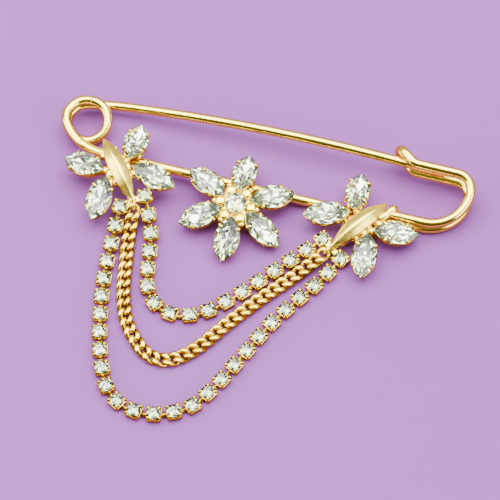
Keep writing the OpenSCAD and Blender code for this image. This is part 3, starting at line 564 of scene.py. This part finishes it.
def butterfly(shape, b):
    """All of a butterfly's soldered metal but its body."""
    at = at_butterfly(b)
    box(shape, (SPINE_BACK, -SPINE_HALF, BASE_H), (SPINE_AHEAD, SPINE_HALF, BASE_H + SPINE_T),
        at, SPINE_CUT)
    box(shape, (-RING_BACK, -RING_ARM_HALF, BASE_H), (0, RING_ARM_HALF, BASE_H + RING_ARM_T),
        at, RING_ARM_CUT)
    for side in SIDES:
        for x, y, up, r, rise, foot in BODY_BEADS:
            dome(shape, r, rise, at @ shift(x, side * y, BASE_H + up), foot)
    for w in b.wings:
        out = spin("Z", w.heading) @ Vector((WING_ARM_OUT, 0, 0))
        strut(shape, Vector((w.x * WING_ARM_START, 0, BASE_H + WING_ARM_LOW)),
              Vector((w.x, w.y, BASE_H + WING_ARM_HIGH)) + out, WING_ARM_HALF, WING_ARM_HALF_T, at)
        navette_cup(shape, at @ at_wing(w))
    for k, side in enumerate(SIDES):
        end = side * TAIL_ARM_OUT
        box(shape, (-TAIL_BACK - TAIL_ARM_HALF, min(0, end), BASE_H - TAIL_ARM_HALF_T),
            (-TAIL_BACK + TAIL_ARM_HALF, max(0, end), BASE_H + TAIL_ARM_HALF_T), at, TAIL_ARM_CUT)
        chaton_cup(shape, at_tail(b, k) @ spin("Z", b.tail_turns[k] - b.heading))
    torus(shape, RING_R, RING_WIRE,
          at_ring(b) @ spin("Z", b.ring_turn - b.heading) @ spin("X", 90))
    saddle(shape, b.x + BUTTERFLY_Y / math.tan(rad(b.heading)), BUTTERFLY_SADDLE_TOP)


def lug(shape):
    """The right butterfly's lug, with the stub that meets the doubled wire's end."""
    at = at_butterfly(RIGHT) @ shift(*LUG_AT)
    turned_bar(shape, LUG, 0, 0, at)
    r, rise, foot = LUG_BEAD
    dome(shape, r, rise, at @ shift(*LUG_BEAD_AT), foot)
    turned_bar(shape, STUB, STUB_Y, STUB_Z, ON_PIN)


def flower(shape):
    """All of the flower's soldered metal."""
    dome(shape, FLOWER_BASE_R, FLOWER_BASE_RISE,
         FLOWER_AT @ shift(0, 0, BASE_H + FLOWER_BASE_H), FLOWER_BASE_FOOT)
    for petal in PETALS:
        navette_cup(shape, FLOWER_AT @ at_petal(*petal))
    for k in range(len(PETALS)):
        turn = spin("Z", 360 / len(PETALS) * k)
        for out, under, r, rise, foot in FLOWER_BEADS:
            dome(shape, r, rise, FLOWER_AT @ turn @ shift(out, 0, ROOT_H - under), foot)
    centre = FLOWER_AT @ shift(0, 0, ROOT_H + CENTRE_UP)
    cup(shape, lambda grow, z: circle(CENTRE_D / 2 + grow, z, CENTRE_SIDES), CENTRE_DEPTH, centre)
    wall = CENTRE_D / 2 + STONE_GAP + CUP_WALL
    for k in range(CENTRE_CLAWS):
        turn = spin("Z", 360 / CENTRE_CLAWS * k)
        claw(shape, CENTRE_CLAW, centre @ turn @ shift(wall - CLAW_SINK, 0, 0))
    saddle(shape, FLOWER_X, FLOWER_SADDLE_TOP)


# ---------------------------------------------------------------- stones
GLASS, FOIL = 0, 1
FLAT_UNDERSIDE = -0.95


def stone(shape, crown, girdle, middle, culet, at):
    """Glass crown, open below, over a foiled back whose middle ring goes up and down."""
    corners, faces, normals = hull(crown + girdle)
    top = [f for f, normal in zip(faces, normals) if normal.z > FLAT_UNDERSIDE]
    shape.add(corners, top, at, GLASS)
    n = len(girdle)
    back = []
    for i in range(n):
        j = (i + 1) % n
        back += [[i, n + i, j], [j, n + i, n + j], [n + i, 2 * n, n + j]]
    shape.add(girdle + middle + [Vector((0, 0, culet))], back, at, FOIL)


def navette_stone(shape, at):
    crown = (lens(STONE_OVER, NAVETTE_GIRDLE, NAVETTE_CUTS)
             + lens(STONE_OVER, NAVETTE_CROWN, NAVETTE_CUTS, NAVETTE_TABLE))
    middle = lens(STONE_OVER, 0, NAVETTE_CUTS, MIDDLE_RING)
    for i, p in enumerate(middle):
        p.z = NAVETTE_MIDDLE[i % 2]
    stone(shape, crown, lens(STONE_OVER, -NAVETTE_GIRDLE, NAVETTE_CUTS), middle, NAVETTE_CULET, at)


def round_stone(shape, d, crown, pavilion, at):
    def ring(share, z, turn=ROUND_TURN):
        return circle(share * d / 2, z, ROUND_CUTS, turn)
    top = (ring(1, ROUND_GIRDLE) + ring(ROUND_SHOULDER, crown * ROUND_SHOULDER_H, 3 * ROUND_TURN)
           + ring(ROUND_TABLE, crown))
    middle = ring(MIDDLE_RING, 0)
    for i, p in enumerate(middle):
        p.z = -pavilion * ROUND_MIDDLE[i % 2]
    stone(shape, top, ring(1, -ROUND_GIRDLE), middle, -pavilion, at)


def chaton_stone(shape, at):
    round_stone(shape, CHATON_CUT_D, CHATON_CROWN, CHATON_PAVILION, at)


# ---------------------------------------------------------------- chains
def islands(node):
    """Middle of each loose solid of a CAD node, in millimetres."""
    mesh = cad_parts[node].data
    numbers, parent, number_of = {}, [], []
    for v in mesh.vertices:
        key = tuple(round(c / MM, 3) for c in v.co)
        if key not in numbers:
            numbers[key] = len(parent)
            parent.append(numbers[key])
        number_of.append(numbers[key])

    def find(i):
        while parent[i] != i:
            parent[i] = parent[parent[i]]
            i = parent[i]
        return i
    for e in mesh.edges:
        parent[find(number_of[e.vertices[0]])] = find(number_of[e.vertices[1]])
    groups = {}
    for key, i in numbers.items():
        groups.setdefault(find(i), []).append(key)
    return [Vector(np.mean(g, axis=0)) for g in groups.values()]


def in_order(points, at):
    """The points as a row that starts nearest to `at`."""
    left, out = list(points), []
    while left:
        at = min(left, key=lambda p: (p - at).length)
        left.remove(at)
        out.append(at)
    return out


def along(points, first, last):
    """A frame at each point of a row: X along it, tilted with its slope, Z up."""
    row = [first] + points + [last]
    out = []
    for i in range(1, len(row) - 1):
        v = row[i + 1] - row[i - 1]
        heading = math.degrees(math.atan2(v.y, v.x))
        slope = math.degrees(math.atan2(v.z, math.hypot(v.x, v.y)))
        out.append(shift(*row[i]) @ spin("Z", heading) @ spin("Y", -slope))
    return out


def as_pin(place, turn):
    """A frame at a place that lies as the pin does, turned about its own Z."""
    return ON_PIN @ shift(*(ON_PIN.inverted() @ place)) @ spin("Z", turn)


def strand(shape, frames, first, last):
    """Cups at the frames, and links between them and on to the two tail cups."""
    for f in frames:
        chaton_cup(shape, f)
    places = [first] + frames + [last]
    for a, b in zip(places, places[1:]):
        p = a @ Vector((CHATON_HALF - LINK_INSET, 0, LINK_DROP))
        q = b @ Vector((-CHATON_HALF + LINK_INSET, 0, LINK_DROP))
        bridge(shape, p, q, [(t, w, w * LINK_FLAT) for t, w in LINK], LINK_SIDES)


def curb_link(shape, at):
    """One thick link, twisted so that the next ones lie flat through it."""
    low, high = CURB_FLATS
    frames = []
    for i in range(CURB_STEPS):
        t = 2 * math.pi * i / CURB_STEPS
        p = Vector((CURB_A * math.cos(t), CURB_B * math.sin(t), CURB_TWIST * math.sin(2 * t)))
        ahead = Vector((-CURB_A * math.sin(t), CURB_B * math.cos(t),
                        2 * CURB_TWIST * math.cos(2 * t))).normalized()
        out = Z.cross(ahead).normalized()
        frames.append((p, out, ahead.cross(out)))
    rings = swept(frames, [CURB_SECTION] * CURB_STEPS, CURB_SIDES)
    for ring in rings:
        for p in ring:
            p.z = max(low, min(high, p.z))
    rings_to(shape, rings, at, closed=True)


# ---------------------------------------------------------------- materials
def grey(v):
    return (v, v, v)


def ramp(nodes, links, source, stops):
    """A colour ramp on a value, with stops of place and colour."""
    r = nodes.new("ShaderNodeValToRGB")
    for e, (at, colour) in zip(r.color_ramp.elements, stops[:2]):
        e.position, e.color = at, (*colour, 1)
    for at, colour in stops[2:]:
        r.color_ramp.elements.new(at).color = (*colour, 1)
    links.new(source, r.inputs["Fac"])
    return r.outputs["Color"]


class Look:
    """A new material: its shader, and noise on the object's own coordinates."""

    def __init__(self, name):
        self.material = bpy.data.materials.new(name)
        self.material.use_nodes = True
        self.nodes, self.links = self.material.node_tree.nodes, self.material.node_tree.links
        self.inputs = self.nodes["Principled BSDF"].inputs
        self.coords = self.nodes.new("ShaderNodeTexCoord")

    def noise(self, scale, detail=2):
        n = self.nodes.new("ShaderNodeTexNoise")
        n.inputs["Scale"].default_value = scale
        n.inputs["Detail"].default_value = detail
        self.links.new(self.coords.outputs["Object"], n.inputs["Vector"])
        return n.outputs["Fac"]

    def ramp_to(self, name, source, *stops):
        self.links.new(ramp(self.nodes, self.links, source, stops), self.inputs[name])

    def set(self, name, value):
        self.inputs[name].default_value = value


def gold_material(name, base, deep, rough=0.13, bump=0.02, grain=900):
    """Gold plate with broad changes of colour and fine changes of gloss."""
    look = Look(name)
    look.ramp_to("Base Color", look.noise(180, 3), (0.3, deep), (0.65, base))
    fine = look.noise(grain, 4)
    look.ramp_to("Roughness", fine, (0.3, grey(rough * 0.75)), (0.75, grey(rough * 1.5)))
    b = look.nodes.new("ShaderNodeBump")
    b.inputs["Strength"].default_value = bump
    b.inputs["Distance"].default_value = 0.0001
    look.links.new(fine, b.inputs["Height"])
    look.links.new(b.outputs["Normal"], look.inputs["Normal"])
    look.set("Metallic", 1)
    look.set("Specular Tint", (1, 0.85, 0.55, 1))
    return look.material


def glass_material():
    look = Look("clear_crystal")
    look.ramp_to("Base Color", look.noise(260), (0.3, (0.985, 1.0, 0.985)), (0.7, grey(1.0)))
    look.set("Transmission Weight", 1)
    look.set("Roughness", 0.03)
    look.set("IOR", 1.5)
    return look.material


def foil_material(name, metallic, deep, base):
    """The mirror foil behind a stone."""
    look = Look(name)
    noise = look.noise(420)
    look.ramp_to("Base Color", noise, (0.3, deep), (0.7, base))
    look.ramp_to("Roughness", noise, (0.2, grey(0.015)), (0.8, grey(0.05)))
    look.set("Metallic", metallic)
    return look.material


def floor_material():
    look = Look("pale_lilac")
    look.ramp_to("Base Color", look.noise(9), (0.3, (0.19, 0.059, 0.25)), (0.7, (0.2, 0.064, 0.26)))
    look.set("Roughness", 0.8)
    look.set("Specular IOR Level", 0.1)
    return look.material


wire_gold = gold_material("wire_gold", (0.97, 0.77, 0.09), (0.92, 0.7, 0.06))
cast_gold = gold_material("cast_gold", (0.94, 0.75, 0.05), (0.8, 0.6, 0.028), 0.15, 0.05, 1400)
chain_gold = gold_material("chain_gold", (0.72, 0.51, 0.014), (0.48, 0.31, 0.004), 0.15, 0.04, 1200)
satin_gold = gold_material("satin_gold", (1.0, 0.76, 0.1), (1.0, 0.74, 0.09), 0.28, 0.0)
glass = glass_material()
foil = foil_material("silver_foil", 0.93, (0.74, 0.86, 0.6), (0.9, 0.98, 0.77))
small_foil = foil_material("silver_foil_small", 1.0, (0.56, 0.65, 0.47), (0.76, 0.84, 0.66))

# ---------------------------------------------------------------- pieces
WIRE_SHARP, CAST_SHARP, CURB_SHARP, BODY_SHARP = 50, 38, 60, 70


def metal(name, materials, node, sharp, *drawings, body="brooch"):
    """A gold piece from drawings, each a function and what it takes after the shape."""
    shape = Shape()
    for draw, *given in drawings:
        draw(shape, *given)
    shape.build(name, materials, [node], sharp, body=body)


def cut(name, back, node, draw, places):
    """A crystal piece with a stone at each place."""
    shape = Shape()
    for at in places:
        draw(shape, at)
    shape.build(name, [glass, back], [node])


def centre_stone(shape, at):
    round_stone(shape, CENTRE_CUT_D, CENTRE_CROWN, CENTRE_PAVILION, at)


metal("frame_wire_bent", [wire_gold], "frame_wire", WIRE_SHARP, (frame_wire,))
metal("pin_arm_bent", [wire_gold], "pin_arm", WIRE_SHARP, (pin_arm,), body="arm")
metal("left_butterfly_metal", [cast_gold], "left_butterfly", CAST_SHARP, (butterfly, LEFT))
metal("right_butterfly_metal", [cast_gold], "right_butterfly", CAST_SHARP,
      (butterfly, RIGHT), (lug,))
metal("flower_metal", [cast_gold], "flower", CAST_SHARP, (flower,))
for name, b in (("left", LEFT), ("right", RIGHT)):
    metal(f"{name}_body", [satin_gold], f"{name}_butterfly", BODY_SHARP,
          (ridged_body, at_butterfly(b)))

for name, b in (("left", LEFT), ("right", RIGHT)):
    for i, w in enumerate(b.wings):
        cut(f"{name}_wing_cut_{i + 1}", foil, f"{name}_wing_stone_{i + 1}", navette_stone,
            [at_butterfly(b) @ at_wing(w)])
    for k in (0, 1):
        cut(f"{name}_tail_cut_{k + 1}", small_foil, f"{name}_tail_stone_{k + 1}", chaton_stone,
            [at_tail(b, k) @ spin("Z", b.tail_turns[k] - b.heading)])
for i, petal in enumerate(PETALS):
    cut(f"petal_cut_{i + 1}", foil, f"petal_stone_{i + 1}", navette_stone,
        [FLOWER_AT @ at_petal(*petal)])
cut("centre_cut", foil, "centre_stone", centre_stone, [FLOWER_AT @ shift(0, 0, ROOT_H + CENTRE_UP)])

# Each strand hangs from one tail cup of the left butterfly to one of the right
for name, left_tail, right_tail in (("outer", 0, 1), ("inner", 1, 0)):
    first, last = at_tail(LEFT, left_tail).translation, at_tail(RIGHT, right_tail).translation
    cups = along(in_order(islands(f"{name}_strand_stones"), first), first, last)
    start = as_pin(first, LEFT.tail_turns[left_tail])
    stop = as_pin(last, RIGHT.tail_turns[right_tail] + 180)
    metal(f"{name}_strand_set", [chain_gold], f"{name}_strand_cups", CAST_SHARP,
          (strand, cups, start, stop))
    cut(f"{name}_strand_cut", small_foil, f"{name}_strand_stones", chaton_stone, cups)

first, last = at_ring(LEFT).translation, at_ring(RIGHT).translation
metal("curb_links", [chain_gold], "curb_chain", CURB_SHARP,
      *((curb_link, at) for at in along(in_order(islands("curb_chain"), first), first, last)))

# ---------------------------------------------------------------- stage, in metres
FLOOR_HALF, FLOOR_Z = 0.9, -0.00002
floor_mesh = bpy.data.meshes.new("floor")
floor_mesh.from_pydata([(x * FLOOR_HALF, y * FLOOR_HALF, FLOOR_Z)
                        for x, y in ((-1, -1), (1, -1), (1, 1), (-1, 1))], [], [(0, 1, 2, 3)])
floor_mesh.materials.append(floor_material())
floor = bpy.data.objects.new("floor", floor_mesh)
bpy.context.scene.collection.objects.link(floor)

# The photo's angle: elevation 62 degrees, azimuth 14 degrees
CAMERA_TARGET = Vector((1.184, 5.8975, 0)) * MM
CAMERA_AWAY = Vector((0.11358, -0.45553, 0.88295))
CAMERA_DISTANCE, CAMERA_LENS, CAMERA_SENSOR, CAMERA_NEAR, CAMERA_FAR = 0.42, 181.44, 36, 0.01, 10


def stand(name, data, location, facing):
    """A camera or light that looks against the direction `facing`."""
    o = bpy.data.objects.new(name, data)
    o.location = location
    o.rotation_mode = "QUATERNION"
    o.rotation_quaternion = facing.to_track_quat("Z", "Y")
    bpy.context.scene.collection.objects.link(o)
    return o


def area_light(name, azimuth, elevation, distance, size, power):
    """A rectangular light that looks at the origin, azimuth from +Y towards +X."""
    data = bpy.data.lights.new(name, "AREA")
    data.shape = "RECTANGLE"
    data.size, data.size_y = size
    data.energy = power
    a, e = rad(azimuth), rad(elevation)
    away = Vector((math.sin(a) * math.cos(e), math.cos(a) * math.cos(e), math.sin(e)))
    stand(name, data, away * distance, away)


camera_data = bpy.data.cameras.new("camera")
camera_data.lens, camera_data.sensor_width = CAMERA_LENS, CAMERA_SENSOR
camera_data.clip_start, camera_data.clip_end = CAMERA_NEAR, CAMERA_FAR
bpy.context.scene.camera = stand(
    "camera", camera_data, CAMERA_TARGET + CAMERA_AWAY * CAMERA_DISTANCE, CAMERA_AWAY)

# Name, azimuth, elevation, distance, size, power
LIGHTS = (("key_top", -15, 76, 0.7, (1.0, 0.7), 26.5),
          ("fill_left", -108, 30, 0.8, (0.6, 0.45), 8),
          ("fill_right", 105, 30, 0.8, (0.6, 0.45), 6))
for light in LIGHTS:
    area_light(*light)

# World: dim in front and bright overhead, and bright behind the object
WORLD_FRONT = ((0.0, grey(0.05)), (0.3, grey(0.06)), (0.85, grey(0.22)), (1.0, grey(0.85)))
WORLD_BEHIND = ((0.0, grey(0.55)), (0.5, grey(0.95)))
BEHIND_FROM, BEHIND_TO = -0.25, 0.35
world = bpy.data.worlds.new("studio")
bpy.context.scene.world = world
world.use_nodes = True
nodes, links = world.node_tree.nodes, world.node_tree.links
coords = nodes.new("ShaderNodeTexCoord")
split = nodes.new("ShaderNodeSeparateXYZ")
links.new(coords.outputs["Generated"], split.inputs[0])
mix = nodes.new("ShaderNodeMix")
mix.data_type = "RGBA"
behind = nodes.new("ShaderNodeMapRange")
behind.inputs["From Min"].default_value = BEHIND_FROM
behind.inputs["From Max"].default_value = BEHIND_TO
links.new(split.outputs["Y"], behind.inputs["Value"])
links.new(behind.outputs["Result"], mix.inputs["Factor"])
links.new(ramp(nodes, links, split.outputs["Z"], WORLD_FRONT), mix.inputs["A"])
links.new(ramp(nodes, links, split.outputs["Z"], WORLD_BEHIND), mix.inputs["B"])
links.new(mix.outputs["Result"], nodes["Background"].inputs["Color"])
nodes["Background"].inputs["Strength"].default_value = 1.0
